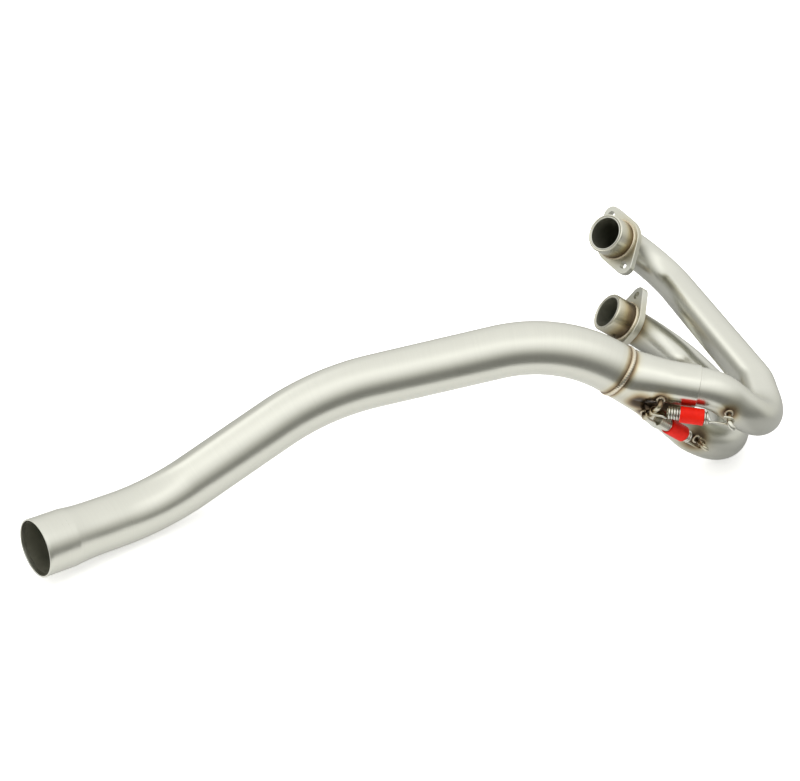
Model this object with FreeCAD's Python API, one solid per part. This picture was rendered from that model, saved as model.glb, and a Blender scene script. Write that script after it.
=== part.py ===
import FreeCAD, Part
import math
import os
from FreeCAD import Vector

os.makedirs("parts", exist_ok=True)

# Two-into-one exhaust head pipe, lying on a table, in millimetres. X runs along the tail pipe's
# long middle run towards the engine end, Z is up, and the origin is on the table under the middle.

# tube stock
tail_r = 25.4
head_r = 19.05
wall = 1.5

# slip-fit outlet of the tail pipe
outlet_bore_r = 25.6
outlet_length = 48.0
outlet_taper = 14.0

# collector: a neck behind the ring weld, a round end where the branches part, two slip sockets
fork_offset = 8.5
socket_gap = 0.15
taper_end = 44.0
limb_step = 0.25
socket_end = 70.0
slip_depth = 23.0
socket_bore_r = head_r + socket_gap
socket_r = socket_bore_r + wall

# ports: turned collar, ring weld, two-bolt flange plate
collar_wall = 2.65
collar_r = head_r + collar_wall
collar_length = 25.0
collar_chamfer = 0.8
flange_thick = 8.0
flange_land = 5.3
flange_mid_r = collar_r + flange_land
flange_lobe_r = 10.5
flange_chamfer = 0.6
bolt_r = 32.0
bolt_hole_r = 4.4
bead_leg = 3.4
bead_bulge = 0.78

# ring weld between tail pipe and collector
ring_half = 3.0
ring_rise = 1.3

# springs and their sleeves
wire_r = 1.1
coil_r = 5.15
coil_gap = 0.25
short_shank = 11.0
long_shank = 19.0
hook_lead = 6.0
hook_turn = 50.0
hook_ease = 3.0
hook_back = 5.0
sleeve_gap = 0.05
sleeve_wall = 1.7
sleeve_length = 22.5
sleeve_bore_r = coil_r + wire_r + sleeve_gap
sleeve_r = sleeve_bore_r + sleeve_wall

# spring hooks: a staple on the collector and a bent post on each head pipe, all of one rod
rod_r = 2.6
rod_bend = 4.5
spring_room = 0.5
loop_room = 1.1
loop_ease = 0.15
loop_r = rod_r + wire_r + loop_room
staple_u = 34.0
loop_spread = 4.8
post_offset = 0.5
post_tail = 7.5
far_lean = 0.2
near_lean = 0.9
root_depth = 6.0
weld_spread = 2.2
weld_climb = 2.4
weld_toe = 0.4
weld_lip = 0.5
loop_height = socket_r + sleeve_r + spring_room

# room by which a cutting body runs past the face that it cuts
cut_over = 5.0

# bend points of the tail pipe's centre line, from the ring weld to the outlet's mouth
tail_points = [Vector(186.5, -83, 130), Vector(128.5, -76, 164), Vector(-95.5, -76, 105),
               Vector(-251, -134.5, 21.3), Vector(-353.5, -208, 37)]
tail_bends = [145.0, 258.0, 128.0]

# bend points of the head pipes, from the port's mouth to the bend in front of the socket
far_points = [Vector(230.5, 179.5, 131.5), Vector(302.5, 221, 74), Vector(351, -24, 72.5),
              Vector(343.5, -110, 70), Vector(278.5, -107, 122.5)]
far_bends = [50.0, 54.0, 54.0, 46.0]
near_points = [Vector(229, 123.5, 64.5), Vector(309.5, 126, 14), Vector(333.5, 12.5, 26),
               Vector(341, -67, 8), Vector(275, -74, 46)]
near_bends = [61.0, 57.0, 57.0, 56.0]

# the flange plates are turned about the port axes so that their bolts lie along these lines
far_bolt_line = Vector(-3, 28.6, 16.9)
near_bolt_line = Vector(14, 15, 23)


def unit(v):
    w = Vector(v)
    w.normalize()
    return w


def square(v, axis):
    return unit(v - axis * v.dot(axis))


def bend_reach(before, corner, after, radius):
    """distance from a corner to the points where its bend leaves the straight runs"""
    return radius / math.tan((before - corner).getAngle(after - corner) / 2)


def bent_wire(points, bends):
    """straight runs joined by tangent arcs"""
    edges = []
    start = points[0]
    for before, corner, after, radius in zip(points, points[1:], points[2:], bends):
        a = unit(before - corner)
        b = unit(after - corner)
        reach = bend_reach(before, corner, after, radius)
        first = corner + a * reach
        last = corner + b * reach
        middle = corner + unit(a + b) * (math.hypot(radius, reach) - radius)
        edges.append(Part.LineSegment(start, first).toShape())
        edges.append(Part.Arc(first, middle, last).toShape())
        start = last
    edges.append(Part.LineSegment(start, points[-1]).toShape())
    return Part.Wire(edges)


def disc(centre, axis, radius):
    return Part.Face(Part.Wire(Part.Circle(centre, axis, radius).toShape()))


def bent_rod(points, bends, radius):
    return bent_wire(points, bends).makePipe(disc(points[0], unit(points[1] - points[0]), radius))


def bent_tube(points, bends, radius):
    axis = unit(points[1] - points[0])
    section = disc(points[0], axis, radius).cut(disc(points[0], axis, radius - wall)).Faces[0]
    return bent_wire(points, bends).makePipe(section)


def spun(edges, foot, axis):
    """a closed outline in the XZ plane, turned about an axis that stands on a foot point"""
    solid = Part.Face(Part.Wire(edges)).revolve(Vector(0, 0, 0), Vector(0, 0, 1), 360)
    solid.Placement = FreeCAD.Placement(foot, FreeCAD.Rotation(Vector(0, 0, 1), axis))
    return solid


def turned(profile, foot, axis):
    """a polygon of radius and height, turned about an axis"""
    outline = Part.makePolygon([Vector(r, 0, z) for r, z in profile + profile[:1]])
    return spun(outline.Edges, foot, axis)


def port_frame(mouth, axis, line):
    spin = FreeCAD.Rotation(square(line, axis), Vector(), axis, "ZXY")
    return FreeCAD.Placement(mouth, spin)


tail_axis = unit(tail_points[0] - tail_points[1])
fork = tail_points[0] + tail_axis * fork_offset
far_dir = unit(far_points[-1] - fork)
near_dir = unit(near_points[-1] - fork)
far_out = unit(far_points[0] - far_points[1])
near_out = unit(near_points[0] - near_points[1])

# frame of the fork: along between the branches, across towards the far branch, out of the front
along = unit(far_dir + near_dir)
across = unit(far_dir - near_dir)
front = along.cross(across)


def fork_point(u, v, h):
    return fork + along * u + across * v + front * h


def tail_pipe():
    """bent tube, swelled at its outlet so that it slips over the next tube"""
    mouth = tail_points[-1]
    axis = unit(mouth - tail_points[-2])
    swell = outlet_length + outlet_taper
    foot = mouth - axis * swell
    tube = bent_tube(tail_points[:-1] + [foot], tail_bends, tail_r)
    flare_r = outlet_bore_r + wall
    bell = turned([(tail_r - wall, 0), (tail_r, 0), (flare_r, outlet_taper), (flare_r, swell),
                   (outlet_bore_r, swell), (outlet_bore_r, outlet_taper)], foot, axis)
    return tube.fuse(bell).removeSplitter()


def branches(inset, overrun):
    """neck with a round end, and a cone with a socket for each branch, all drawn in by the inset"""
    neck_r = tail_r - inset
    end_r = socket_r - inset
    foot = Vector(0, 0, -fork_offset - overrun)
    corner = foot + Vector(neck_r, 0, 0)
    brim = Vector(neck_r, 0, 0)
    tip = Vector(0, 0, neck_r)
    shoulder = (brim + tip) * math.sqrt(0.5)
    edges = [Part.LineSegment(foot, corner).toShape(), Part.LineSegment(corner, brim).toShape(),
             Part.Arc(brim, shoulder, tip).toShape(), Part.LineSegment(tip, foot).toShape()]
    neck = spun(edges, fork, tail_axis)
    limbs = []
    for way in (far_dir, near_dir):
        cone = Part.makeCone(neck_r - limb_step, end_r, taper_end, fork, way)
        socket = Part.makeCylinder(end_r, socket_end - taper_end + overrun, fork + way * taper_end, way)
        limbs.append(cone.fuse(socket))
    return neck.fuse(limbs)


def head_run(points, way):
    """a head pipe's points, with its end inside the socket"""
    return points + [fork + way * (socket_end - slip_depth)]


def collar(mouth, axis):
    chamfer_r = collar_r - collar_chamfer
    return turned([(head_r, -collar_length), (collar_r, -collar_length), (collar_r, -collar_chamfer),
                   (chamfer_r, 0), (head_r, 0)], mouth, axis)


def flange(place):
    """oval plate: round middle and two lobes joined by their tangents, bored for pipe and bolts"""
    lean = math.asin((flange_mid_r - flange_lobe_r) / bolt_r)

    def spot(x, r, sx, sy):
        return Vector(sx * (x + r * math.sin(lean)), sy * r * math.cos(lean), 0)

    edges = []
    for s in (1, -1):
        mid_in = spot(0, flange_mid_r, s, s)
        lobe_in = spot(bolt_r, flange_lobe_r, s, s)
        lobe_tip = Vector(s * (bolt_r + flange_lobe_r), 0, 0)
        lobe_out = spot(bolt_r, flange_lobe_r, s, -s)
        mid_out = spot(0, flange_mid_r, s, -s)
        mid_tip = Vector(0, -s * flange_mid_r, 0)
        edges.append(Part.LineSegment(mid_in, lobe_in).toShape())
        edges.append(Part.Arc(lobe_in, lobe_tip, lobe_out).toShape())
        edges.append(Part.LineSegment(lobe_out, mid_out).toShape())
        edges.append(Part.Arc(mid_out, mid_tip, spot(0, flange_mid_r, -s, -s)).toShape())
    plate = Part.Face(Part.Wire(edges)).extrude(Vector(0, 0, -flange_thick))
    rims = [e for e in plate.Edges if e.BoundBox.ZLength < flange_thick / 2]
    plate = plate.makeChamfer(flange_chamfer, rims)
    drill_length = flange_thick + 2 * cut_over
    drill_foot = -flange_thick - cut_over
    tools = [Part.makeCylinder(head_r, drill_length, Vector(0, 0, drill_foot))]
    for s in (1, -1):
        tools.append(Part.makeCylinder(bolt_hole_r, drill_length, Vector(s * bolt_r, 0, drill_foot)))
    plate = plate.cut(tools)
    plate.translate(Vector(0, 0, -collar_length))
    plate.Placement = place.multiply(plate.Placement)
    return plate


def collar_weld(mouth, axis):
    """bead that fills the corner between collar and plate, rounded outwards"""
    bulge = bead_bulge * bead_leg
    corner = Vector(collar_r, 0, -collar_length)
    low = corner + Vector(bead_leg, 0, 0)
    top = corner + Vector(0, 0, bead_leg)
    crown = corner + Vector(bulge, 0, bulge)
    edges = [Part.LineSegment(corner, low).toShape(), Part.Arc(low, crown, top).toShape(),
             Part.LineSegment(top, corner).toShape()]
    return spun(edges, mouth, axis)


def tail_weld():
    low = Vector(tail_r, 0, -ring_half)
    high = Vector(tail_r, 0, ring_half)
    crown = Vector(tail_r + ring_rise, 0, 0)
    edges = [Part.LineSegment(low, high).toShape(), Part.Arc(high, crown, low).toShape()]
    return spun(edges, tail_points[0], tail_axis)


def staple():
    """rod across the valley between the branches, with a foot on the crest of each"""
    low = crest_r - root_depth
    line = [fork_point(staple_u, staple_v, low), fork_point(staple_u, staple_v, loop_height),
            fork_point(staple_u, -staple_v, loop_height), fork_point(staple_u, -staple_v, low)]
    return bent_rod(line, [rod_bend, rod_bend], rod_r)


def post(seat, up, way):
    """rod that stands on a head pipe and turns away from the spring's pull above the loop"""
    top = seat + up * (loop_height + wire_r + rod_bend)
    return bent_rod([seat + up * (head_r - root_depth), top, top + way * post_tail], [rod_bend], rod_r)


def foot_weld(spot, out, base, rod):
    """bead around a rod's foot, laid on the curved surface under it"""
    outer_r = rod_r + weld_spread
    bead = turned([(0, -root_depth), (outer_r, -root_depth), (outer_r, weld_toe),
                   (rod_r + weld_lip, weld_climb), (0, weld_climb)], spot, out)
    return bead.cut(base).cut(rod)


def pulled(first, second, first_rod, second_rod):
    """loop centres, drawn towards each other until the loops bear on their rods"""
    way = unit(second - first)
    ends = []
    for spot, rod, turn in ((first, first_rod, 1), (second, second_rod, -1)):
        slack = loop_r - wire_r - rod_r / way.cross(rod).Length - loop_ease
        ends.append(spot + way * (turn * slack))
    return ends


def hook_end(centre, up, side, start, leave, leg):
    """wire that leaves the coil, runs beside the axis and goes half round a rod"""
    inner = centre + side * loop_r
    outer = centre - side * loop_r
    top = inner + up * leg
    lead = Part.BezierCurve()
    lead.setPoles([start, start + leave * hook_ease, top + up * hook_ease, top])
    bow = Part.Arc(inner, centre - up * loop_r, outer)
    return [lead.toShape(), Part.LineSegment(top, inner).toShape(), bow.toShape(),
            Part.LineSegment(outer, outer + up * hook_back).toShape()]


def spring(first, second, first_rod, second_rod):
    """one wire along Z: a wound body, with a short hook at its foot and a long one at its top"""
    axis = unit(second - first)
    length = (second - first).Length
    body = length - short_shank - long_shank
    x = square(axis.cross(first_rod), axis)
    y = axis.cross(x)
    top_side = square(axis.cross(second_rod), axis)
    twist = math.atan2(top_side.dot(y), top_side.dot(x))
    lead = math.radians(hook_turn)
    part_turn = (twist - 2 * lead) / (2 * math.pi)
    turns = math.floor(body / (2 * wire_r + coil_gap) - part_turn) + part_turn
    pitch = body / turns
    climb = pitch / (2 * math.pi * coil_r)
    helix = Part.makeLongHelix(pitch, body, coil_r, 0)
    helix.rotate(Vector(), Vector(0, 0, 1), hook_turn)
    helix.translate(Vector(0, 0, short_shank))
    edges = list(helix.Edges)
    for height, up, shank, leg_turn, wind in ((0, 1, short_shank, 0, 1), (length, -1, long_shank, twist, -1)):
        turn = leg_turn + wind * lead
        start = Vector(coil_r * math.cos(turn), coil_r * math.sin(turn), height + up * shank)
        leave = unit(Vector(-math.sin(turn), math.cos(turn), climb)) * -wind
        side = Vector(math.cos(leg_turn), math.sin(leg_turn), 0)
        edges += hook_end(Vector(0, 0, height), Vector(0, 0, up), side, start, leave, shank - hook_lead)
    line = Part.Wire(Part.__sortEdges__(edges))
    section = Part.Circle(Vector(-loop_r, 0, hook_back), Vector(0, 0, 1), wire_r)
    wire = line.makePipeShell([Part.Wire(section.toShape())], True, False)
    wire.Placement = FreeCAD.Placement(first, FreeCAD.Rotation(x, y, axis, "ZXY"))
    return wire


def sleeve(first, second):
    half = sleeve_length / 2
    return turned([(sleeve_bore_r, -half), (sleeve_r, -half), (sleeve_r, half), (sleeve_bore_r, half)],
                  (first + second) * 0.5, unit(second - first))


def write(name, shape):
    state = "valid" if shape.isValid() else "not valid"
    print(name, len(shape.Solids), "solid", round(shape.Volume / 1000, 2), "cm3", state)
    shape.Solids[0].exportStep("parts/%s.step" % name)


fork_core = branches(0, 0)
write("tail_pipe", tail_pipe())
write("tail_weld", tail_weld())
write("collector", fork_core.cut(branches(wall, cut_over)).removeSplitter())

# the staple stands where the branches' crests are staple_u in front of the fork
half_angle = far_dir.getAngle(along)
staple_v = staple_u * math.tan(half_angle)
taper = (tail_r - limb_step - socket_r) / taper_end
crest_r = socket_r + taper * max(0, taper_end - staple_u / math.cos(half_angle))
fork_hook = staple().cut(fork_core)
write("collector_hook", fork_hook)

# both posts stand on a straight run, beside the bend in front of the socket
far_leg = unit(far_points[3] - far_points[4])
far_reach = bend_reach(fork, far_points[4], far_points[3], far_bends[3])
far_seat = far_points[4] + far_leg * (far_reach + post_offset)
far_up = square(front + across * far_lean, far_leg)
near_reach = bend_reach(fork, near_points[4], near_points[3], near_bends[3])
near_seat = near_points[4] - near_dir * (near_reach + post_offset)
near_up = square(front + across * near_lean, near_dir)

sides = [("far", far_points, far_bends, far_out, far_bolt_line, far_dir, 1, far_seat, far_up, far_leg),
         ("near", near_points, near_bends, near_out, near_bolt_line, near_dir, -1, near_seat, near_up,
          near_dir)]
for side, points, bends, out, bolt_line, way, turn, seat, up, leg in sides:
    run = head_run(points, way)
    core = bent_rod(run, bends, head_r)
    write(side + "_head_pipe", bent_tube(run, bends, head_r))
    write(side + "_port_collar", collar(points[0], out))
    write(side + "_port_flange", flange(port_frame(points[0], out, bolt_line)))
    write(side + "_collar_weld", collar_weld(points[0], out))

    hook = post(seat, up, leg).cut(core)
    write(side + "_pipe_hook", hook)
    write(side + "_hook_weld", foot_weld(seat + up * head_r, up, core, hook))
    crest = fork_point(staple_u, turn * staple_v, crest_r)
    write(side + "_rod_weld", foot_weld(crest, front, fork_core, fork_hook))

    staple_spot = fork_point(staple_u, turn * loop_spread, loop_height)
    ends = pulled(staple_spot, seat + up * loop_height, across, up)
    write(side + "_spring", spring(ends[0], ends[1], across, up))
    write(side + "_spring_sleeve", sleeve(ends[0], ends[1]))
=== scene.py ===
import bmesh
import bpy
import math
import numpy as np
from mathutils import Matrix


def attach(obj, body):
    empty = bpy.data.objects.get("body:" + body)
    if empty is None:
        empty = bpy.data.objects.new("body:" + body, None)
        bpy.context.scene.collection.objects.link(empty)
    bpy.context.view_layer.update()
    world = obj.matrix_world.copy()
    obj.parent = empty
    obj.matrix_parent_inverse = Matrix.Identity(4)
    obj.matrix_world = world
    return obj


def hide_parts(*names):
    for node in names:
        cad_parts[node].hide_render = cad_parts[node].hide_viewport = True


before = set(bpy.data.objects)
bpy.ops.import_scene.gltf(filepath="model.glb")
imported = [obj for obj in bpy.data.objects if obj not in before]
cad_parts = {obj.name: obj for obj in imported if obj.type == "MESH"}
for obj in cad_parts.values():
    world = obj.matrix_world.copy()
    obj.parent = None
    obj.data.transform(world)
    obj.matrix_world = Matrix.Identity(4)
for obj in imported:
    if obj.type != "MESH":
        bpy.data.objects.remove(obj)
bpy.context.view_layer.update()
print("frame loaded,", len(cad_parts), "nodes")

mm = 0.001  # sizes below are in millimetres, meshes in metres


# vectors and routes

def vec(*v):
    return np.array(v, float)


def unit(v):
    return v / np.linalg.norm(v, axis=-1, keepdims=True)


def square(v, axis):
    return unit(v - axis * (v @ axis))


def smoothStep(t):
    # 3 t^2 - 2 t^3 between 0 and 1
    t = np.clip(t, 0, 1)
    return t * t * (3 - 2 * t)


def travelled(line):
    # distance of each point from the first, along the line
    return np.concatenate([[0], np.cumsum(np.linalg.norm(np.diff(line, axis=0), axis=1))])


def bendReach(before, corner, after, radius):
    # distance from a corner to where its arc leaves the straight runs
    half = math.acos(float(unit(before - corner) @ unit(after - corner))) / 2
    return radius / math.tan(half)


def bentRoute(points, bends, spacing=0.5):
    # straight runs joined by tangent arcs: an arc is centre + radius * (cos a * out + sin a * ahead)
    runs = []
    start = points[0]
    for before, corner, after, radius in zip(points, points[1:], points[2:], bends):
        reach = bendReach(before, corner, after, radius)
        first = corner + unit(before - corner) * reach
        last = corner + unit(after - corner) * reach
        middle = corner + unit(unit(before - corner) + unit(after - corner)) * math.hypot(radius, reach)
        out = unit(first - middle)
        ahead = unit(corner - first)
        turn = 2 * math.atan(reach / radius)
        steps = np.linspace(0, 1, max(2, int(np.linalg.norm(first - start) / spacing)))[:-1, None]
        runs.append(start + (first - start) * steps)
        a = np.linspace(0, turn, max(8, int(turn * radius / spacing)))[:-1, None]
        runs.append(middle + radius * (np.cos(a) * out + np.sin(a) * ahead))
        start = last
    steps = np.linspace(0, 1, max(2, int(np.linalg.norm(points[-1] - start) / spacing)))[:, None]
    runs.append(start + (points[-1] - start) * steps)
    line = np.vstack(runs)
    s = travelled(line)
    return {"line": line, "s": s, "length": s[-1]}


def routeAt(route, s):
    return np.stack([np.interp(s, route["s"], route["line"][:, k]) for k in range(3)], axis=-1)


def routeFrames(route, s, reference, near=0.4):
    # points, and at each two directions across the route, the first nearest to the reference
    ahead = routeAt(route, np.minimum(s + near, route["length"]))
    behind = routeAt(route, np.maximum(s - near, 0))
    tangent = unit(ahead - behind)
    normal = unit(reference - tangent * (tangent @ reference)[:, None])
    return routeAt(route, s), normal, np.cross(tangent, normal)


# meshes

def heatAndShadeAt(points, batch=4000):
    # the strongest source decides, welds and painted shade spots alike: strength * exp(-(distance / reach)
    # squared), a batch of points at a time
    heatAndShade = np.zeros(len(points))
    for spots, reach, strength in heatAndShadeSources:
        for first in range(0, len(points), batch):
            part = slice(first, first + batch)
            away = np.linalg.norm(points[part, None] - spots[None], axis=2).min(axis=1)
            heatAndShade[part] = np.maximum(heatAndShade[part], strength * np.exp(-(away / reach) ** 2))
    return heatAndShade


def gridPiece(name, grid, uv, closeRows=False, capEnds=False, groups=None, tint=None):
    # quads between neighbouring rows and columns of a grid of points; the columns always close to a ring
    rows, cols = grid.shape[:2]
    points = grid.reshape(-1, 3)
    i, j = np.meshgrid(np.arange(rows if closeRows else rows - 1), np.arange(cols), indexing="ij")
    i, j = i.ravel(), j.ravel()
    ni, nj = (i + 1) % rows, (j + 1) % cols
    quads = np.stack([i * cols + j, i * cols + nj, ni * cols + nj, ni * cols + j], axis=1)
    wide = np.concatenate([uv, uv[:1]], axis=0)
    wide = np.concatenate([wide, wide[:, :1] + (wide[:, -1:] - wide[:, :1]) * cols / (cols - 1)], axis=1)
    corners = np.stack([wide[i, j], wide[i, j + 1], wide[i + 1, j + 1], wide[i + 1, j]], axis=1)
    faces = quads.tolist()
    loops = corners.reshape(-1, 2)
    faceGroups = np.zeros(len(quads), int) if groups is None else groups[i]
    if capEnds:
        for row, flip in ((0, False), (rows - 1, True)):
            ring = row * cols + np.arange(cols)
            centre = len(points)
            points = np.vstack([points, points[ring].mean(axis=0)])
            nxt = np.roll(ring, -1)
            hub = np.full(cols, centre)
            fan = np.stack([hub, ring, nxt] if flip else [hub, nxt, ring], axis=1)
            faces += fan.tolist()
            loops = np.vstack([loops, np.repeat(uv[row, :1], cols * 3, axis=0)])
            faceGroups = np.concatenate([faceGroups, np.full(cols, faceGroups[0])])
    return meshPiece(name, points, faces, loops, faceGroups, tint)


def cornerVolume(points, faces, a, b, c):
    # sum of pa . (pb x pc) over the faces, six times the volume that they enclose
    return np.einsum("ij,ij->", points[faces[:, a]], np.cross(points[faces[:, b]], points[faces[:, c]]))


def meshPiece(name, points, faces, loops, faceGroups, tint=None):
    # a solid's faces point outwards when their corner volumes add up to more than zero
    volume = cornerVolume(points, np.array([f[:3] for f in faces]), 0, 1, 2)
    quads = np.array([f for f in faces if len(f) == 4])
    if len(quads):
        volume += cornerVolume(points, quads, 0, 2, 3)
    mesh = bpy.data.meshes.new(name)
    mesh.from_pydata((points * mm).tolist(), [], faces)
    layer = mesh.uv_layers.new(name="UVMap")
    layer.data.foreach_set("uv", (loops * mm).astype(np.float32).ravel())
    # per point: the welds' heat tint, and painted shade in the collector's valley and round the near hook
    scorchAndShade = mesh.attributes.new("weldTintAndShade", "FLOAT", "POINT")
    scorchAndShade.data.foreach_set("value", (heatAndShadeAt(points) if tint is None else tint).astype(np.float32))
    mesh.polygons.foreach_set("use_smooth", np.ones(len(faces), bool))
    mesh.polygons.foreach_set("material_index", faceGroups.astype(np.int32))
    if volume < 0:
        mesh.flip_normals()
    mesh.update()
    piece = bpy.data.objects.new(name, mesh)
    bpy.context.scene.collection.objects.link(piece)
    return piece


def place(piece, materials, slot, *nodes):
    for m in materials:
        piece.data.materials.append(m)
    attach(piece, "root")
    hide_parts(*nodes)


def lipRows(s, r, wall, ahead, lip=0.45, count=4):
    # a rim between outer and inner wall, its two edges rounded by quarter circles
    a = np.linspace(0, math.pi / 2, count)
    outer = np.stack([s - ahead * lip * (1 - np.sin(a)), r - lip * (1 - np.cos(a))], axis=1)
    inner = np.stack([s - ahead * lip * (1 - np.cos(a)), r - wall + lip * (1 - np.sin(a))], axis=1)
    return np.vstack([outer, inner])


def tubePiece(name, route, reference, outerAt, innerAt, step, around, edges=(), room=1.0):
    # a wall section of (distance along, radius) carried round the route: outer wall, rim, inner wall, rim;
    # an edge gets three rows of its own, in a room that other rows keep out of
    length = route["length"]
    s = np.linspace(0, length, int(length / step))[1:-1]
    for edge in edges:
        s = np.sort(np.concatenate([s[np.abs(s - edge) > room], edge + room / 2 * vec(-1, 0, 1)]))
    wallEnd = float(outerAt(vec(length))[0] - innerAt(vec(length))[0])
    wallStart = float(outerAt(vec(0))[0] - innerAt(vec(0))[0])
    end = lipRows(length, float(outerAt(vec(length))[0]), wallEnd, 1)
    start = lipRows(0, float(outerAt(vec(0))[0]), wallStart, -1)[::-1]
    section = np.vstack([np.stack([s, outerAt(s)], axis=1), end,
                         np.stack([s, innerAt(s)], axis=1)[::-1], start])
    groups = np.concatenate([np.zeros(len(s) + len(end)), np.ones(len(s)), np.zeros(len(start))]).astype(int)
    point, normal, side = routeFrames(route, section[:, 0], reference)
    turn = np.linspace(0, 2 * math.pi, around, endpoint=False)
    ring = np.cos(turn)[None, :, None] * normal[:, None] + np.sin(turn)[None, :, None] * side[:, None]
    grid = point[:, None] + section[:, 1][:, None, None] * ring
    uv = np.stack(np.broadcast_arrays(section[:, 0][:, None], (turn * outerAt(vec(0))[0])[None, :]), axis=-1)
    return gridPiece(name, grid, uv, closeRows=True, groups=groups)


def spunPiece(name, foot, axis, section, around, uvRadius, ripple=None, tint=None):
    # a closed section of (radius, height) turned about an axis, with an optional ripple along the turn
    a = unit(axis)
    x = square(vec(0, 0, 1), a)
    y = np.cross(a, x)
    turn = np.linspace(0, 2 * math.pi, around, endpoint=False)
    r, h = section[:, 0][:, None], section[:, 1][:, None]
    if ripple is not None:
        r, h = ripple(r, h, turn[None, :])
    ring = np.cos(turn)[None, :, None] * x + np.sin(turn)[None, :, None] * y
    grid = foot + np.broadcast_to(r, (len(section), around))[..., None] * ring
    grid = grid + np.broadcast_to(h, (len(section), around))[..., None] * a
    uv = np.stack(np.broadcast_arrays(travelled(section)[:, None], (turn * uvRadius)[None, :]), axis=-1)
    if tint is not None:
        tint = np.broadcast_to(tint[:, None], (len(section), around)).ravel()
    return gridPiece(name, grid, uv, closeRows=True, tint=tint)


def wirePiece(name, line, radius, around, radiusAt=None):
    # a round section carried along a line, turned as little as possible from point to point
    tangent = unit(np.gradient(line, axis=0))
    normal = np.zeros_like(line)
    normal[0] = square(vec(0.3, 0.5, 0.81), tangent[0])  # any direction that the wire doesn't start along
    for k in range(1, len(line)):
        normal[k] = square(normal[k - 1], tangent[k])
    side = np.cross(tangent, normal)
    turn = np.linspace(0, 2 * math.pi, around, endpoint=False)
    size = np.full(len(line), radius) if radiusAt is None else radiusAt
    ring = np.cos(turn)[None, :, None] * normal[:, None] + np.sin(turn)[None, :, None] * side[:, None]
    grid = line[:, None] + size[:, None, None] * ring
    uv = np.stack(np.broadcast_arrays(travelled(line)[:, None], (turn * radius)[None, :]), axis=-1)
    return gridPiece(name, grid, uv, capEnds=True)


# the object's sizes, as the solids have them unless a note says otherwise

tube = {"tailRadius": 25.4, "headRadius": 19.05, "wall": 1.5, "step": 3.0, "around": 80}
tail = {
    "points": [vec(186.5, -83, 130), vec(128.5, -76, 164), vec(-95.5, -76, 105), vec(-251, -134.5, 21.3),
               vec(-353.5, -208, 37)],
    "bends": [145.0, 258.0, 128.0],
    "outletBore": 25.6, "swellFrom": 58.0, "swellTo": 31.0,  # from the mouth, the scene's own
    "step": 4.0, "around": 96,
}
farPipe = {
    "points": [vec(230.5, 179.5, 131.5), vec(302.5, 221, 74), vec(351, -24, 72.5), vec(343.5, -110, 70),
               vec(278.5, -107, 122.5)],
    "bends": [50.0, 54.0, 54.0, 46.0],
}
nearPipe = {
    "points": [vec(229, 123.5, 64.5), vec(309.5, 126, 14), vec(333.5, 12.5, 26), vec(341, -67, 8),
               vec(275, -74, 46)],
    "bends": [61.0, 57.0, 57.0, 56.0],
}
fork = {
    "offset": 8.5, "taperEnd": 44.0, "socketGap": 0.15, "socketEnd": 70.0, "slipDepth": 23.0,
    "blend": 10.0, "lip": 0.6, "taperEase": 0.4,  # roundings of the scene's own
    "bendRows": 22, "limbRows": 30, "socketRows": 20, "lipRows": 6, "cols": 73, "fadeCols": 16,
    "limbShare": 0.92,  # of the way to the crotch, as the seam's shares are
    "seamShares": vec(0.94, 0.96, 0.975, 0.987, 0.995, 0.999, 1.001), "uvHalf": 60.0,
}
port = {"collarWall": 2.65, "collarLength": 25.0, "chamfer": 0.8, "rows": 16, "around": 96}
hook = {
    "rod": 2.6, "bend": 4.5, "stapleAlong": 34.0, "loopSpread": 4.8, "postOffset": 0.5, "postTail": 7.5,
    "farLean": 0.2, "nearLean": 0.9, "springRoom": 0.5, "loopRoom": 1.1, "ease": 0.15, "root": 3.0,
    "step": 0.6, "spacing": 0.2, "around": 24, "tipRows": 8, "tipShare": 0.97,
}
coil = {
    "wire": 1.1, "radius": 5.15, "gap": 0.25, "shortShank": 11.0, "longShank": 19.0, "lead": 6.0,
    "turn": 50.0, "ease": 3.0, "back": 5.0,
    "leadRows": 16, "legRows": 12, "bowRows": 26, "backRows": 8, "perTurn": 28, "around": 14,
}
sleeve = {"gap": 0.05, "wall": 1.7, "length": 22.5, "edge": 0.8, "inEdge": 0.1,
          "rows": 12, "edgeRows": 6, "around": 64}

socketRadius = tube["headRadius"] + fork["socketGap"] + tube["wall"]
collarRadius = tube["headRadius"] + port["collarWall"]
sleeveRadius = coil["radius"] + coil["wire"] + sleeve["gap"] + sleeve["wall"]
loopRadius = hook["rod"] + coil["wire"] + hook["loopRoom"]
loopHeight = socketRadius + sleeveRadius + hook["springRoom"]

tailAxis = unit(tail["points"][0] - tail["points"][1])
forkPoint = tail["points"][0] + tailAxis * fork["offset"]
farDir = unit(farPipe["points"][-1] - forkPoint)
nearDir = unit(nearPipe["points"][-1] - forkPoint)
along = unit(farDir + nearDir)
across = unit(farDir - nearDir)
front = np.cross(along, across)
farOut = unit(farPipe["points"][0] - farPipe["points"][1])
nearOut = unit(nearPipe["points"][0] - nearPipe["points"][1])


def atFork(u, v, h):
    return forkPoint + along * u + across * v + front * h


halfAngle = math.acos(float(farDir @ along))
stapleSide = hook["stapleAlong"] * math.tan(halfAngle)
crestRadius = socketRadius + (tube["tailRadius"] - socketRadius) * max(
    0, 1 - hook["stapleAlong"] / math.cos(halfAngle) / fork["taperEnd"])

farLeg = unit(farPipe["points"][3] - farPipe["points"][4])
farReach = bendReach(forkPoint, farPipe["points"][4], farPipe["points"][3], farPipe["bends"][3])
farSeat = farPipe["points"][4] + farLeg * (farReach + hook["postOffset"])
farUp = square(front + across * hook["farLean"], farLeg)
nearReach = bendReach(forkPoint, nearPipe["points"][4], nearPipe["points"][3], nearPipe["bends"][3])
nearSeat = nearPipe["points"][4] - nearDir * (nearReach + hook["postOffset"])
nearUp = square(front + across * hook["nearLean"], nearDir)


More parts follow.
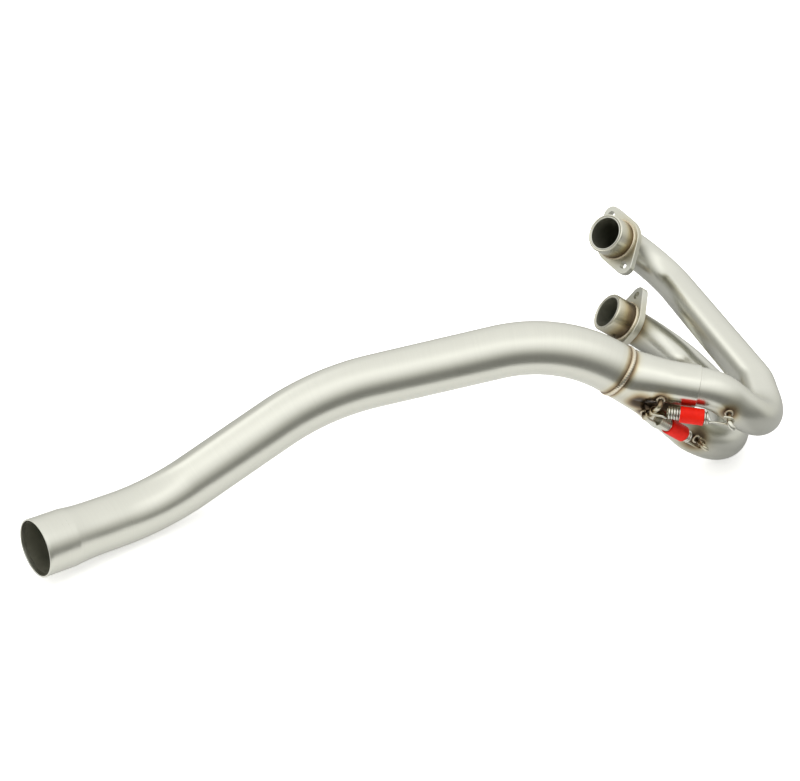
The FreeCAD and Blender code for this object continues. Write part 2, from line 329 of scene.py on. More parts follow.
def circleSpots(centre, axis, radius, count=72):
    x = square(vec(0, 0, 1), axis)
    t = np.linspace(0, 2 * math.pi, count, endpoint=False)[:, None]
    return centre + radius * (np.cos(t) * x + np.sin(t) * np.cross(axis, x))


# spots that welding has heated, and spots of painted shade: places, reach of the tint, strength
valley = {"from": 20.0, "to": 62.0, "spots": 24, "radius": 22.5}
valleyAlong = np.linspace(valley["from"], valley["to"], valley["spots"])
valleyRise = np.sqrt(np.maximum(0, valley["radius"] ** 2 - (valleyAlong * math.sin(halfAngle)) ** 2))
valleyScorchAndShade = forkPoint + valleyAlong[:, None] * along + valleyRise[:, None] * front
farPlate = farPipe["points"][0] - farOut * port["collarLength"]
nearPlate = nearPipe["points"][0] - nearOut * port["collarLength"]
heatAndShadeSources = [
    (circleSpots(tail["points"][0], tailAxis, tube["tailRadius"]), 5.5, 0.85),
    (circleSpots(farPlate, farOut, collarRadius), 12.0, 0.9),
    (circleSpots(nearPlate, nearOut, collarRadius), 16.0, 1.05),
    (atFork(hook["stapleAlong"], stapleSide, crestRadius)[None], 9.0, 1.0),
    (atFork(hook["stapleAlong"], -stapleSide, crestRadius)[None], 9.0, 1.0),
    ((farSeat + farUp * tube["headRadius"])[None], 9.0, 1.0),
    # the near pipe's hook: weld tint and painted shade together, a wider dark patch for the hollow under the
    # springs
    ((nearSeat + nearUp * tube["headRadius"])[None], 14.0, 1.0),
    # the valley between the collector's branches: heat scorch along the crotch and painted shade of the
    # valley, together
    (valleyScorchAndShade, 12.0, 1.25),
]


# materials

def newMaterial(name):
    material = bpy.data.materials.new(name)
    material.use_nodes = True
    tree = material.node_tree
    return material, tree, tree.nodes["Principled BSDF"]


def addNode(tree, kind, settings=None, **inputs):
    node = tree.nodes.new(kind)
    for key, value in (settings or {}).items():
        setattr(node, key, value)
    for key, value in inputs.items():
        socket = node.inputs[int(key[1:])] if key[0] == "i" and key[1:].isdigit() else node.inputs[key]
        if isinstance(value, bpy.types.NodeSocket):
            tree.links.new(value, socket)
        else:
            socket.default_value = value
    return node


def mathNode(tree, operation, a, b, c=0.0):
    return addNode(tree, "ShaderNodeMath", {"operation": operation}, i0=a, i1=b, i2=c).outputs[0]


def ramp(tree, value, stops):
    node = addNode(tree, "ShaderNodeValToRGB", i0=value)
    band = node.color_ramp
    while len(band.elements) < len(stops):
        band.elements.new(1.0)
    for element, (spot, color) in zip(band.elements, stops):
        element.position = spot
        element.color = (*color, 1.0)
    return node.outputs[0]


def scaled(tree, vector, scale):
    return addNode(tree, "ShaderNodeMapping", Vector=vector, Scale=scale).outputs[0]


def noise(tree, vector, scale, detail, rough=0.55):
    node = addNode(tree, "ShaderNodeTexNoise", Vector=vector, Scale=scale, Detail=detail, Roughness=rough)
    return node.outputs[0]


# from bare steel through straw, gold and brown to a dark brown scale, as the heat rises; the dark end also
# paints shade in the collector's valley and round the near hook
tintStops = [(0.0, (0.63, 0.63, 0.57)), (0.16, (0.61, 0.59, 0.49)), (0.34, (0.49, 0.43, 0.30)),
             (0.52, (0.31, 0.235, 0.145)), (0.72, (0.14, 0.10, 0.06)), (0.94, (0.062, 0.043, 0.026))]
collarStops = [(0.0, (0.61, 0.60, 0.52)), (0.20, (0.57, 0.53, 0.40)), (0.45, (0.44, 0.37, 0.22)),
               (0.70, (0.22, 0.165, 0.09)), (0.95, (0.11, 0.08, 0.05))]


steelLook = {"cloudScale": 38.0, "cloudDetail": 4.0, "fineRough": 0.6, "wander": 0.55, "wanderPower": 0.7,
             "cloudWear": 0.06, "bump": 0.35}


def addBump(tree, shader, height, strength, depth):
    bump = addNode(tree, "ShaderNodeBump", Strength=strength, Distance=depth, Height=height)
    tree.links.new(bump.outputs[0], shader.inputs["Normal"])


def steel(name, rough=0.27, lines=(700, 9), lineDepth=0.00002, stops=tintStops, patch=0.05, wear=0.10,
          detail=4.0, coords="UV"):
    # tint = stops at heat and painted shade + (cloud - 0.5) * wander * the same to a power, streaked by fine
    # lines
    material, tree, shader = newMaterial(name)
    base = addNode(tree, "ShaderNodeTexCoord").outputs[coords]
    body = addNode(tree, "ShaderNodeTexCoord").outputs["Object"]
    cloud = noise(tree, body, steelLook["cloudScale"], steelLook["cloudDetail"])
    stretched = scaled(tree, base, (lines[0], lines[1], lines[1]))
    fine = noise(tree, stretched, 1.0, detail, steelLook["fineRough"])
    heatAndShade = addNode(tree, "ShaderNodeAttribute", {"attribute_name": "weldTintAndShade"}).outputs["Fac"]
    wander = mathNode(tree, "MULTIPLY", mathNode(tree, "SUBTRACT", cloud, 0.5), steelLook["wander"])
    raisedHeatAndShade = mathNode(tree, "POWER", heatAndShade, steelLook["wanderPower"])
    level = mathNode(tree, "ADD", heatAndShade, mathNode(tree, "MULTIPLY", wander, raisedHeatAndShade))
    tint = ramp(tree, level, stops)
    streak = mathNode(tree, "MULTIPLY_ADD", mathNode(tree, "SUBTRACT", fine, 0.5), patch * 2, 1.0)
    color = addNode(tree, "ShaderNodeMix", {"data_type": "RGBA", "blend_type": "MULTIPLY"},
                    i0=1.0, i6=tint, i7=streak)
    tree.links.new(color.outputs[2], shader.inputs["Base Color"])
    shader.inputs["Metallic"].default_value = 1.0
    worn = mathNode(tree, "MULTIPLY_ADD", fine, wear, rough - wear / 2)
    soft = mathNode(tree, "MULTIPLY_ADD", cloud, steelLook["cloudWear"], worn)
    tree.links.new(soft, shader.inputs["Roughness"])
    addBump(tree, shader, fine, steelLook["bump"], lineDepth)
    return material


inside = {"stops": [(0.3, (0.24, 0.24, 0.185)), (0.7, (0.36, 0.355, 0.285))], "scale": 60.0, "detail": 5.0,
          "metallic": 0.9, "rough": 0.5}


def insideSteel():
    material, tree, shader = newMaterial("pipeInside")
    body = addNode(tree, "ShaderNodeTexCoord").outputs["Object"]
    soot = noise(tree, body, inside["scale"], inside["detail"])
    tree.links.new(ramp(tree, soot, inside["stops"]), shader.inputs["Base Color"])
    shader.inputs["Metallic"].default_value = inside["metallic"]
    shader.inputs["Roughness"].default_value = inside["rough"]
    return material


silicone = {"stops": [(0.3, (0.50, 0.006, 0.001)), (0.7, (0.58, 0.010, 0.002))], "scale": 160.0,
            "detail": 4.0, "rough": 0.45, "gloss": 0.12, "grain": 1800.0, "grainDetail": 2.0, "bump": 0.25,
            "depth": 0.00003}


def redSilicone():
    material, tree, shader = newMaterial("redSilicone")
    body = addNode(tree, "ShaderNodeTexCoord").outputs["Object"]
    cloud = noise(tree, body, silicone["scale"], silicone["detail"])
    tree.links.new(ramp(tree, cloud, silicone["stops"]), shader.inputs["Base Color"])
    shader.inputs["Roughness"].default_value = silicone["rough"]
    shader.inputs["Specular IOR Level"].default_value = silicone["gloss"]
    grain = noise(tree, body, silicone["grain"], silicone["grainDetail"])
    addBump(tree, shader, grain, silicone["bump"], silicone["depth"])
    return material


brushedTube = steel("brushedTube")
formedSteel = steel("formedSteel", rough=0.19, lines=(110, 110), lineDepth=0.000004, patch=0.03, wear=0.06,
                    detail=1.0, coords="Object")
turnedSteel = steel("turnedSteel", rough=0.22, lines=(2600, 4), stops=collarStops)
weldMetal = steel("weldMetal", rough=0.24, lines=(300, 300), patch=0.12,
                  stops=[(0.0, (0.70, 0.65, 0.54)), (0.4, (0.55, 0.47, 0.34)), (0.8, (0.25, 0.19, 0.12))])
hookSteel = steel("hookSteel", rough=0.24, lines=(150, 1200))
springSteel = steel("springSteel", rough=0.20, lines=(120, 1600))
pipeInside = insideSteel()
sleeveRed = redSilicone()
print("materials made")


# tail pipe, swelled at its outlet

def tailRadiusAt(s):
    # tube radius + swell * t squared: it leaves the tube smoothly and meets the swelled end at a faint edge
    fromMouth = tailRoute["length"] - np.asarray(s, float)
    t = np.clip((tail["swellFrom"] - fromMouth) / (tail["swellFrom"] - tail["swellTo"]), 0, 1)
    swell = tail["outletBore"] + tube["wall"] - tube["tailRadius"]
    return tube["tailRadius"] + swell * t ** 2


tailRoute = bentRoute(tail["points"], tail["bends"])
tailPiece = tubePiece("tailPipe", tailRoute, vec(0, 0, 1), tailRadiusAt,
                      lambda s: tailRadiusAt(s) - tube["wall"], tail["step"], tail["around"],
                      [tailRoute["length"] - tail["swellTo"]])
place(tailPiece, [brushedTube, pipeInside], "brushed_tube", "tail_pipe")

# head pipes, from the port's mouth into the socket
for name, pipe, way, node in (("farHeadPipe", farPipe, farDir, "far_head_pipe"),
                              ("nearHeadPipe", nearPipe, nearDir, "near_head_pipe")):
    pushedIn = forkPoint + way * (fork["socketEnd"] - fork["slipDepth"])
    piece = tubePiece(name, bentRoute(pipe["points"] + [pushedIn], pipe["bends"]), vec(0, 0, 1),
                      lambda s: np.full(np.shape(s), tube["headRadius"]),
                      lambda s: np.full(np.shape(s), tube["headRadius"] - tube["wall"]),
                      tube["step"], tube["around"])
    place(piece, [brushedTube, pipeInside], "brushed_tube", node)
print("pipes made")


# collector: each branch follows a curve from the ring weld to its socket, cut where it meets its twin

def branchGrid(way, side, inset):
    # centre (1-t)^2 ring + 2 t (1-t) fork + t^2 blend end, then straight along the limb, which narrows from
    # the tail's radius to the socket's; a section has only the angles on its own side of the middle plane
    ring = tail["points"][0]
    bendEnd = forkPoint + way * fork["blend"]
    t = np.linspace(0, 1, fork["bendRows"])[:, None]
    curve = (1 - t) ** 2 * ring + 2 * t * (1 - t) * forkPoint + t ** 2 * bendEnd
    crotch = (socketRadius - inset) / math.tan(halfAngle)
    lipFoot = fork["socketEnd"] - fork["lip"]
    run = np.concatenate([np.linspace(fork["blend"], crotch * fork["limbShare"], fork["limbRows"])[1:],
                          crotch * fork["seamShares"],
                          np.linspace(crotch + 1, lipFoot, fork["socketRows"]),
                          lipFoot + fork["lip"] * np.sin(np.linspace(0, math.pi / 2, fork["lipRows"])[1:])])
    centre = np.vstack([curve, forkPoint + way * run[:, None]])
    tangent = unit(np.vstack([(1 - t) * (forkPoint - ring) + t * (bendEnd - forkPoint),
                              np.broadcast_to(way, (len(run), 3))]))
    reach = (centre - forkPoint) @ way
    k = np.clip(reach / fork["taperEnd"], 0, 1)
    k = (1 - fork["taperEase"]) * k + fork["taperEase"] * smoothStep(k)
    radius = tube["tailRadius"] + (socketRadius - tube["tailRadius"]) * k - inset
    intoLip = np.clip((reach - lipFoot) / fork["lip"], 0, 1)
    radius = radius - (fork["lip"] * (1 - np.sqrt(1 - intoLip ** 2)) if inset == 0 else 0)
    outward = across * side
    lean = outward - tangent * (tangent @ outward)[:, None]
    slope = np.linalg.norm(lean, axis=1)
    x = lean / slope[:, None]
    y = np.cross(tangent, x)
    offset = (centre - forkPoint) @ outward
    limit = np.arccos(np.clip(-offset / (radius * slope), -1, 1))
    angle = np.linspace(-1, 1, fork["cols"])[None, :] * limit[:, None]
    ringWay = np.cos(angle)[..., None] * x[:, None] + np.sin(angle)[..., None] * y[:, None]
    firstClosed = fork["bendRows"] + fork["limbRows"] - 1 + int((fork["seamShares"] < 1).sum())
    return centre[:, None] + radius[:, None, None] * ringWay, travelled(centre), firstClosed


def forkWall(inset):
    # both branches, with their edges drawn together along the seam before the crotch; the shift fades away
    # over the columns next to the seam as the square of the distance from it
    far, travel, closed = branchGrid(farDir, 1, inset)
    near = branchGrid(nearDir, -1, inset)[0][:, ::-1]
    fade = np.clip(1 - np.arange(fork["cols"]) / fork["fadeCols"], 0, 1) ** 2
    for edge, share in ((0, fade), (-1, fade[::-1])):
        seam = (far[:closed, edge] + near[:closed, edge]) / 2
        farShift, nearShift = seam - far[:closed, edge], seam - near[:closed, edge]
        far[:closed] += farShift[:, None] * share[None, :, None]
        near[:closed] += nearShift[:, None] * share[None, :, None]
    return far, near, travel, closed


def collectorPiece():
    points, faces, loops, groups, rims = [], [], [], [], []
    count = 0
    for group, inset in enumerate((0.0, tube["wall"])):
        far, near, travel, closed = forkWall(inset)
        n, m = far.shape[:2]
        i, j = np.meshgrid(np.arange(n - 1), np.arange(m - 1), indexing="ij")
        i, j = i.ravel(), j.ravel()
        quads = np.stack([i * m + j, i * m + j + 1, (i + 1) * m + j + 1, (i + 1) * m + j], axis=1)
        turned = np.linspace(-fork["uvHalf"], fork["uvHalf"], m)
        uv = np.stack(np.broadcast_arrays(travel[:, None], turned[None, :]), axis=-1).reshape(-1, 2)
        ends = []
        for grid in (far, near):
            faces += (quads + count).tolist()
            loops.append(uv[quads].reshape(-1, 2))
            points.append(grid.reshape(-1, 3))
            ends.append([count + np.arange(m), count + (n - 1) * m + np.arange(m)])
            count += n * m
        before, after = (closed - 1) * m, closed * m
        farFoot, nearFoot = count - 2 * n * m, count - n * m
        faces += [[farFoot + before, farFoot + after, nearFoot + after],
                  [farFoot + before + m - 1, nearFoot + after, farFoot + after]]
        loops.append(np.zeros((6, 2)))
        groups += [group] * (2 * len(quads) + 2)
        rims.append(ends)
    for branch in (0, 1):
        for end in (0, 1):
            outer, inner = rims[0][branch][end], rims[1][branch][end]
            rim = np.stack([outer[:-1], outer[1:], inner[1:], inner[:-1]], axis=1)
            faces += rim.tolist()
            loops.append(np.zeros((rim.size, 2)))
            groups += [0] * len(rim)
    piece = meshPiece("forkShell", np.vstack(points), faces, np.vstack(loops), np.array(groups))
    mergeSeams(piece)
    return piece


def mergeSeams(piece, near=0.01):
    # points closer than near become one, and all faces are turned outwards
    made = bmesh.new()
    made.from_mesh(piece.data)
    bmesh.ops.remove_doubles(made, verts=made.verts, dist=near * mm)
    bmesh.ops.recalc_face_normals(made, faces=made.faces)
    made.to_mesh(piece.data)
    made.free()


place(collectorPiece(), [formedSteel, pipeInside], "formed_steel", "collector")
print("collector made")


# port collars with a chamfered, softened mouth

def collarSection():
    # outer wall, chamfer with a small step at each of its edges, mouth, and the foot of the bore
    inner, outer, length, c = tube["headRadius"], collarRadius, port["collarLength"], port["chamfer"]
    down = np.linspace(-length, -c - 0.3, port["rows"])
    bevel = [(outer - 0.08, -c - 0.05), (outer - c + 0.1, -0.1), (outer - c - 0.25, 0), (inner, 0)]
    return np.vstack([np.stack([np.full(port["rows"], outer), down], axis=1), bevel, [(inner, -length)]])


for name, pipe, out, node in (("farPortCollar", farPipe, farOut, "far_port_collar"),
                              ("nearPortCollar", nearPipe, nearOut, "near_port_collar")):
    piece = spunPiece(name, pipe["points"][0], out, collarSection(), port["around"], collarRadius)
    place(piece, [turnedSteel], "turned_steel", node)


# weld beads: a rounded section whose height and width swell with each ripple

def roundSection(radius, height, half, rise, count=16):
    a = np.linspace(0, 2 * math.pi, count, endpoint=False)
    return np.stack([radius + rise * np.sin(a), height + half * np.cos(a)], axis=1)


def crestTint(count=16, strength=0.9):
    # 1 - (sine of the section's angle) squared: straw along the crest, brown at both edges
    a = np.linspace(0, 2 * math.pi, count, endpoint=False)
    return strength * (1 - np.maximum(0, np.sin(a)) ** 2)


def rippled(weld, radius):
    # ripple = |cos(n turn / 2 + bow height)| less its middle, which lifts the bead into overlapping scales
    def shape(r, h, turn):
        wave = np.abs(np.cos(weld["ripples"] * turn / 2 + weld["bow"] * (h - h.mean()))) - weld["middle"]
        return r + weld["depth"] * wave * np.sign(np.maximum(r - radius, 0)), h + 0 * turn
    return shape


ringWeld = {"sink": 0.1, "half": 2.6, "rise": 1.4, "ripples": 72, "depth": 0.12, "bow": 0.5, "middle": 0.6,
            "around": 448}
section = roundSection(tube["tailRadius"] - ringWeld["sink"], 0, ringWeld["half"], ringWeld["rise"])
piece = spunPiece("tailWeld", tail["points"][0], tailAxis, section, ringWeld["around"], tube["tailRadius"],
                  rippled(ringWeld, tube["tailRadius"]), crestTint())
place(piece, [weldMetal], "weld_bead", "tail_weld")

collarWeld = {"lift": 0.3, "height": 0.4, "half": 1.6, "rise": 1.5, "ripples": 60, "depth": 0.14, "bow": 0.5,
              "middle": 0.6, "around": 384, "tint": 0.55}
weldRadius = collarRadius + collarWeld["lift"]
for name, plate, out, node in (("farCollarWeld", farPlate, farOut, "far_collar_weld"),
                               ("nearCollarWeld", nearPlate, nearOut, "near_collar_weld")):
    section = roundSection(weldRadius, collarWeld["height"], collarWeld["half"], collarWeld["rise"])
    piece = spunPiece(name, plate, out, section, collarWeld["around"], collarRadius,
                      rippled(collarWeld, weldRadius), crestTint(strength=collarWeld["tint"]))
    place(piece, [weldMetal], "weld_bead", node)

footWeld = {"spread": 0.5, "bead": 1.5, "ripples": 7, "depth": 0.16, "middle": 0.5, "around": 96,
            "section": 12}


def footBead(name, centre, up, runWay, bodyRadius, node):
    # a ring round the rod's foot, dropped onto the round body under it, with a rippled round section
    side = np.cross(up, runWay)
    bead = footWeld["bead"]
    turn = np.linspace(0, 2 * math.pi, footWeld["around"], endpoint=False)
    a = np.linspace(0, 2 * math.pi, footWeld["section"], endpoint=False)
    wave = 1 + footWeld["depth"] * (np.abs(np.cos(footWeld["ripples"] * turn)) - footWeld["middle"])
    reach = hook["rod"] + footWeld["spread"]
    r = reach + bead * np.cos(a)[:, None] * wave[None, :]
    h = bead * np.sin(a)[:, None] * wave[None, :]
    sideways = r * np.sin(turn)
    drop = np.sqrt(bodyRadius ** 2 - sideways ** 2)
    grid = (centre + (r * np.cos(turn))[..., None] * runWay + sideways[..., None] * side
            + (drop + h)[..., None] * up)
    uv = np.stack(np.broadcast_arrays((a * bead)[:, None], (turn * reach)[None, :]), axis=-1)
    tint = np.broadcast_to(crestTint(footWeld["section"])[:, None], r.shape).ravel()
    place(gridPiece(name, grid, uv, closeRows=True, tint=tint), [weldMetal], "weld_bead", node)


footBead("farHookWeld", farSeat, farUp, farLeg, tube["headRadius"], "far_hook_weld")
footBead("nearHookWeld", nearSeat, nearUp, nearDir, tube["headRadius"], "near_hook_weld")
for name, side, way, node in (("farRodWeld", 1, farDir, "far_rod_weld"),
                              ("nearRodWeld", -1, nearDir, "near_rod_weld")):
    foot = atFork(hook["stapleAlong"], side * stapleSide, 0)
    footBead(name, foot, front, way, crestRadius, node)
print("welds made")


# hooks: bent rod with a rounded tip

def rodPiece(name, points, bends, node, roundTip=True):
    # a round rod along its bent route; a round tip is a quarter circle, rod sin a along and rod cos a wide
    route = bentRoute(points, bends, hook["spacing"])
    rod = hook["rod"]
    even = route["length"] - (rod if roundTip else 0)
    s = np.linspace(0, even, int(route["length"] / hook["step"]))
    size = np.full(len(s), rod)
    if roundTip:
        a = np.linspace(0, math.pi / 2 * hook["tipShare"], hook["tipRows"])[1:]
        s = np.concatenate([s, even + rod * np.sin(a)])
        size = np.concatenate([size, rod * np.cos(a)])
    piece = wirePiece(name, routeAt(route, s), rod, hook["around"], size)
    place(piece, [hookSteel], "hook_rod", node)


rodFoot = crestRadius - hook["root"]
staple = [atFork(hook["stapleAlong"], side * stapleSide, height)
          for side, height in ((1, rodFoot), (1, loopHeight), (-1, loopHeight), (-1, rodFoot))]
rodPiece("collectorHook", staple, [hook["bend"]] * 2, "collector_hook", roundTip=False)
for name, seat, up, leg, node in (("farPipeHook", farSeat, farUp, farLeg, "far_pipe_hook"),
                                  ("nearPipeHook", nearSeat, nearUp, nearDir, "near_pipe_hook")):
    top = seat + up * (loopHeight + coil["wire"] + hook["bend"])
    rodPiece(name, [seat + up * (tube["headRadius"] - hook["root"] / 2), top, top + leg * hook["postTail"]],
             [hook["bend"]], node)


# springs: wound body, and at each end a leg and a half turn round the rod

def pulledEnds(first, second, firstRod, secondRod):
    # each loop's centre moves towards the other until its wire bears on the rod
    way = unit(second - first)
    ends = []
    for spot, rod, turn in ((first, firstRod, 1), (second, secondRod, -1)):
        slack = loopRadius - coil["wire"] - hook["rod"] / np.linalg.norm(np.cross(way, rod)) - hook["ease"]
        ends.append(spot + way * turn * slack)
    return ends


def hookLine(height, up, shank, legTurn, wind, climb):
    # out of the coil by a cubic curve, along a leg beside the axis, half round the rod and a short way back
    turn = legTurn + wind * math.radians(coil["turn"])
    start = vec(coil["radius"] * math.cos(turn), coil["radius"] * math.sin(turn), height + up * shank)
    leave = -wind * unit(vec(-math.sin(turn), math.cos(turn), climb))
    side, centre, rise = vec(math.cos(legTurn), math.sin(legTurn), 0), vec(0, 0, height), vec(0, 0, up)
    low = centre + side * loopRadius
    top = low + rise * (shank - coil["lead"])
    t = np.linspace(0, 1, coil["leadRows"])[:, None]
    lead = ((1 - t) ** 3 * start + 3 * t * (1 - t) ** 2 * (start + leave * coil["ease"])
            + 3 * t ** 2 * (1 - t) * (top + rise * coil["ease"]) + t ** 3 * top)
    leg = top + (low - top) * np.linspace(0, 1, coil["legRows"])[1:, None]
    a = np.linspace(0, math.pi, coil["bowRows"])[1:, None]
    bow = centre + loopRadius * (np.cos(a) * side - np.sin(a) * rise)
    back = bow[-1] + rise * np.linspace(0, coil["back"], coil["backRows"])[1:, None]
    return np.vstack([lead, leg, bow, back])


def springPiece(name, first, second, firstRod, secondRod, node):
    # helix of radius r: r cos a, r sin a, rising in step with a, between a short hook and a long one
    axis = unit(second - first)
    length = float(np.linalg.norm(second - first))
    body = length - coil["shortShank"] - coil["longShank"]
    x = square(np.cross(axis, firstRod), axis)
    y = np.cross(axis, x)
    topSide = square(np.cross(axis, secondRod), axis)
    twist = math.atan2(float(topSide @ y), float(topSide @ x))
    lead = math.radians(coil["turn"])
    partTurn = (twist - 2 * lead) / (2 * math.pi)
    turns = math.floor(body / (2 * coil["wire"] + coil["gap"]) - partTurn) + partTurn
    climb = body / turns / (2 * math.pi * coil["radius"])
    a = np.linspace(0, 2 * math.pi * turns, int(turns * coil["perTurn"]))
    wound = np.stack([coil["radius"] * np.cos(a + lead), coil["radius"] * np.sin(a + lead),
                      coil["shortShank"] + body * a / a[-1]], axis=1)
    foot = hookLine(0, 1, coil["shortShank"], 0, 1, climb)
    top = hookLine(length, -1, coil["longShank"], twist, -1, climb)
    line = first + np.vstack([foot[::-1], wound[1:-1], top]) @ np.stack([x, y, axis])
    place(wirePiece(name, line, coil["wire"], coil["around"]), [springSteel], "spring_wire", node)


def sleeveSection():
    # outer wall, quarter circles at its two edges, and a bore with a small bevel at each end
    bore = coil["radius"] + coil["wire"] + sleeve["gap"]
    half, r, c = sleeve["length"] / 2, sleeve["edge"], sleeve["inEdge"]
    a = np.linspace(0, math.pi / 2, sleeve["edgeRows"])
    side = np.linspace(-half + r, half - r, sleeve["rows"])
    outer = np.stack([np.full(sleeve["rows"], sleeveRadius), side], axis=1)
    top = np.stack([sleeveRadius - r + r * np.cos(a), half - r + r * np.sin(a)], axis=1)
    bottom = np.stack([sleeveRadius - r + r * np.sin(a), -half + r - r * np.cos(a)], axis=1)
    inner = [(bore + c, half), (bore, half - c), (bore, -half + c), (bore + c, -half)]
    return np.vstack([outer, top[1:], inner, bottom[:-1]])


for side, turn, seat, up in (("far", 1, farSeat, farUp), ("near", -1, nearSeat, nearUp)):
    onStaple = atFork(hook["stapleAlong"], turn * hook["loopSpread"], loopHeight)
    first, second = pulledEnds(onStaple, seat + up * loopHeight, across, up)
    springPiece(side + "Spring", first, second, across, up, side + "_spring")
    piece = spunPiece(side + "SpringSleeve", (first + second) / 2, second - first, sleeveSection(),
                      sleeve["around"], sleeveRadius)
    place(piece, [sleeveRed], "red_sleeve", side + "_spring_sleeve")
print("hooks and springs made")


# flange plates keep their solids

plateLook = {"reach": 14.0, "cloud": 45.0, "cloudDetail": 4.0, "warm": 0.42, "grain": 900.0,
             "grainDetail": 3.0, "wear": 0.12, "rough": 0.27, "bump": 0.3, "depth": 0.00003}


def plateSteel(name, centre):
    # the tint falls from the collar outwards as (collar radius + reach - distance) / reach, times a cloud
    material, tree, shader = newMaterial(name)
    body = addNode(tree, "ShaderNodeTexCoord").outputs["Object"]
    away = addNode(tree, "ShaderNodeVectorMath", {"operation": "DISTANCE"}, i0=body, i1=tuple(centre * mm))
    reach = plateLook["reach"]
    level = mathNode(tree, "MULTIPLY_ADD", away.outputs["Value"], -1 / (reach * mm),
                     (collarRadius + reach) / reach)
    cloud = noise(tree, body, plateLook["cloud"], plateLook["cloudDetail"])
    warm = mathNode(tree, "MULTIPLY", mathNode(tree, "MULTIPLY", level, cloud), plateLook["warm"])
    tree.links.new(ramp(tree, warm, tintStops), shader.inputs["Base Color"])
    shader.inputs["Metallic"].default_value = 1.0
    grain = noise(tree, body, plateLook["grain"], plateLook["grainDetail"])
    worn = mathNode(tree, "MULTIPLY_ADD", grain, plateLook["wear"], plateLook["rough"])
    tree.links.new(worn, shader.inputs["Roughness"])
    addBump(tree, shader, grain, plateLook["bump"], plateLook["depth"])
    return material


for node, centre in (("far_port_flange", farPlate), ("near_port_flange", nearPlate)):
    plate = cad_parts[node]
    plate.data.materials.clear()
    plate.data.materials.append(plateSteel(node + "Steel", centre))


# stage: a pale floor, and round it a soft studio whose low band is dark for the steel to mirror

studio = {
    "floorSize": 60.0, "floorColor": (0.93, 0.93, 0.92), "floorGlow": 0.4, "floorHeight": -0.0004,
    "floorRough": 0.9, "floorGloss": 0.1,
    "wallSides": 64, "wallShare": 0.49, "wallFoot": -0.01, "wallHeight": 25.0, "wallGlow": 1.0,
    # the table is the floor as the steel mirrors it, with painted shade past the shade's ranges
    "tableX": (-0.8, 0.8), "tableY": (-0.31, 1.5), "tableColor": (0.50, 0.50, 0.49), "tableGlow": 0.32,
    "tableHeight": -0.0002, "shadeX": (0.25, 0.36), "shadeY": (-0.04, 0.06), "shade": 0.5,
    # brightness at the sine of the height, and where along x or y a side fades in
    "front": [(0.0, 0.24), (0.08, 0.26), (0.36, 0.74), (0.57, 1.15), (0.75, 1.38), (0.89, 1.62), (1.0, 1.22)],
    "left": [(0.0, 0.40), (0.27, 0.44), (0.43, 0.8), (0.56, 2.2), (0.68, 1.7), (0.85, 1.3), (1.0, 1.22)],
    "back": [(0.0, 0.85), (0.2, 0.98), (0.5, 1.10), (1.0, 1.22)],
    "leftFade": (-0.2, -0.75), "frontFade": (0.25, -0.35),
    "brightFrom": 0.9, "brightBlue": 0.98, "dimBlue": 0.93,
}
lamp = {"spot": (-0.1, 0.1, 1.7), "target": (0, 0, 0.05), "size": (2.4, 1.6), "power": 24.0,
        "upward": vec(0, 0.2, 1)}
view = {
    "spot": (-0.1635, -1.1923, 0.9056), "right": vec(0.9944, -0.0954, 0.045),
    "down": vec(-0.0189, -0.5805, -0.8141), "look": vec(0.1038, 0.8087, -0.579),
    "focal": 1450, "width": 800, "sensor": 36.0, "clip": 200,  # focal length and width in pixels
}


def stagePiece(name, points, faces, material, hiddenFrom):
    mesh = bpy.data.meshes.new(name)
    mesh.from_pydata(points, [], faces)
    mesh.materials.append(material)
    piece = bpy.data.objects.new(name, mesh)
    bpy.context.scene.collection.objects.link(piece)
    for rays in hiddenFrom:
        setattr(piece, "visible_" + rays, False)


def flatPiece(name, xs, ys, z, material, hiddenFrom):
    corners = [(xs[0], ys[0], z), (xs[1], ys[0], z), (xs[1], ys[1], z), (xs[0], ys[1], z)]
    stagePiece(name, corners, [(0, 1, 2, 3)], material, hiddenFrom)


def floorFinish(name, color, glow):
    material, tree, shader = newMaterial(name)
    shader.inputs["Base Color"].default_value = (*color, 1)
    shader.inputs["Emission Color"].default_value = (1, 1, 1, 1)
    shader.inputs["Emission Strength"].default_value = glow
    shader.inputs["Roughness"].default_value = studio["floorRough"]
    shader.inputs["Specular IOR Level"].default_value = studio["floorGloss"]
    return material, tree, shader


def makeFloor():
    # the pale floor is hidden from reflections, which see the darker table in its place
    half = studio["floorSize"] / 2
    pale = floorFinish("paleFloor", studio["floorColor"], studio["floorGlow"])[0]
    flatPiece("floor", (-half, half), (-half, half), studio["floorHeight"], pale, ["glossy"])
    finish, tree, shader = floorFinish("mirroredFloor", studio["tableColor"], studio["tableGlow"])
    split = addNode(tree, "ShaderNodeSeparateXYZ", i0=addNode(tree, "ShaderNodeTexCoord").outputs["Object"])
    sides = [addNode(tree, "ShaderNodeMapRange", i0=split.outputs[axis], i1=start, i2=end).outputs[0]
             for axis, (start, end) in enumerate((studio["shadeX"], studio["shadeY"]))]
    # painted shade on the mirrored floor, towards its right end and behind the tail, for the pipes to mirror
    darker = mathNode(tree, "MAXIMUM", *sides)
    for socket, bright in (("Base Color", studio["tableColor"]), ("Emission Color", (1, 1, 1))):
        dark = tuple(v * studio["shade"] for v in bright)
        tree.links.new(ramp(tree, darker, [(0.0, bright), (1.0, dark)]), shader.inputs[socket])
    flatPiece("mirroredFloor", studio["tableX"], studio["tableY"], studio["tableHeight"], finish,
              ["camera", "diffuse", "transmission", "shadow"])


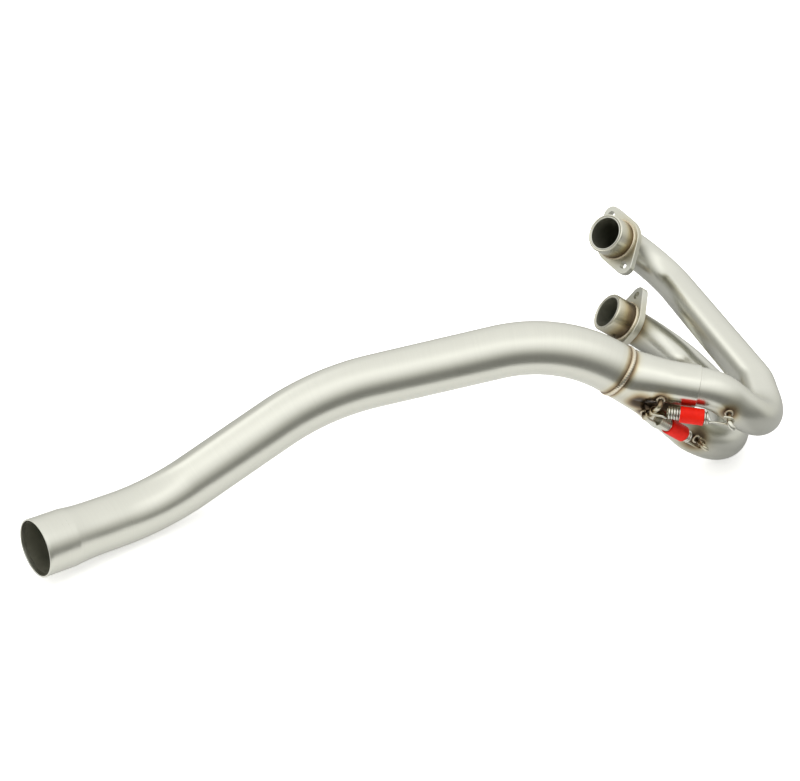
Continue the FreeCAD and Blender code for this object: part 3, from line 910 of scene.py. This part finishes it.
def makeBackdrop():
    # a far ring of upright walls, cos t and sin t at two heights, that only the camera sees
    count = studio["wallSides"]
    t = np.linspace(0, 2 * math.pi, count, endpoint=False)
    rim = np.stack([np.cos(t), np.sin(t)], axis=1) * studio["floorSize"] * studio["wallShare"]
    points = np.vstack([np.column_stack([rim, np.full(count, z)])
                        for z in (studio["wallFoot"], studio["wallHeight"])])
    k = np.arange(count)
    nxt = (k + 1) % count
    faces = np.stack([nxt, k, count + k, count + nxt], axis=1)
    pale = floorFinish("paleWall", (0, 0, 0), studio["wallGlow"])[0]
    stagePiece("backdrop", points.tolist(), faces.tolist(), pale,
               ["glossy", "diffuse", "transmission", "shadow"])


def skyStops(side):
    # grey stops, a little warm, and less so where they are bright
    return [(z, (v, v, v * studio["brightBlue" if v > studio["brightFrom"] else "dimBlue"]))
            for z, v in studio[side]]


def makeWorld():
    # brightness by the sine of the height, one run of stops for each side, the sides joined by smooth steps
    world = bpy.data.worlds.new("studio")
    bpy.context.scene.world = world
    world.use_nodes = True
    tree = world.node_tree
    way = addNode(tree, "ShaderNodeTexCoord").outputs["Generated"]
    split = addNode(tree, "ShaderNodeSeparateXYZ", i0=way)
    sky = {side: ramp(tree, split.outputs[2], skyStops(side)) for side in ("front", "left", "back")}
    total = sky["back"]
    for side, axis in (("left", 0), ("front", 1)):
        start, end = studio[side + "Fade"]
        share = addNode(tree, "ShaderNodeMapRange", {"interpolation_type": "SMOOTHSTEP"},
                        i0=split.outputs[axis], i1=start, i2=end).outputs[0]
        mixed = addNode(tree, "ShaderNodeMix", {"data_type": "RGBA"}, i0=share, i6=total, i7=sky[side])
        total = mixed.outputs[2]
    tree.links.new(total, tree.nodes["Background"].inputs["Color"])


def stand(name, data, spot, x, y, z):
    # an object at a spot, turned so that its own axes are x, y and z
    made = bpy.data.objects.new(name, data)
    bpy.context.scene.collection.objects.link(made)
    turn = Matrix([[x[k], y[k], z[k]] for k in range(3)]).to_4x4()
    made.matrix_world = Matrix.Translation(spot) @ turn
    return made


def makeLight():
    data = bpy.data.lights.new("overhead", "AREA")
    data.shape = "RECTANGLE"
    data.size, data.size_y = lamp["size"]
    data.energy = lamp["power"]
    back = unit(vec(*lamp["spot"]) - vec(*lamp["target"]))
    side = unit(np.cross(lamp["upward"], back))
    light = stand("overhead", data, lamp["spot"], side, np.cross(back, side), back)
    light.visible_glossy = False


def makeCamera():
    data = bpy.data.cameras.new("camera")
    data.sensor_width = view["sensor"]
    data.lens = view["focal"] * view["sensor"] / view["width"]
    data.clip_end = view["clip"]
    right, down, look = unit(view["right"]), unit(view["down"]), unit(view["look"])
    bpy.context.scene.camera = stand("camera", data, view["spot"], right, -down, -look)


makeFloor()
makeBackdrop()
makeWorld()
makeLight()
makeCamera()
bpy.context.scene.view_settings.view_transform = "Standard"
print("stage made")
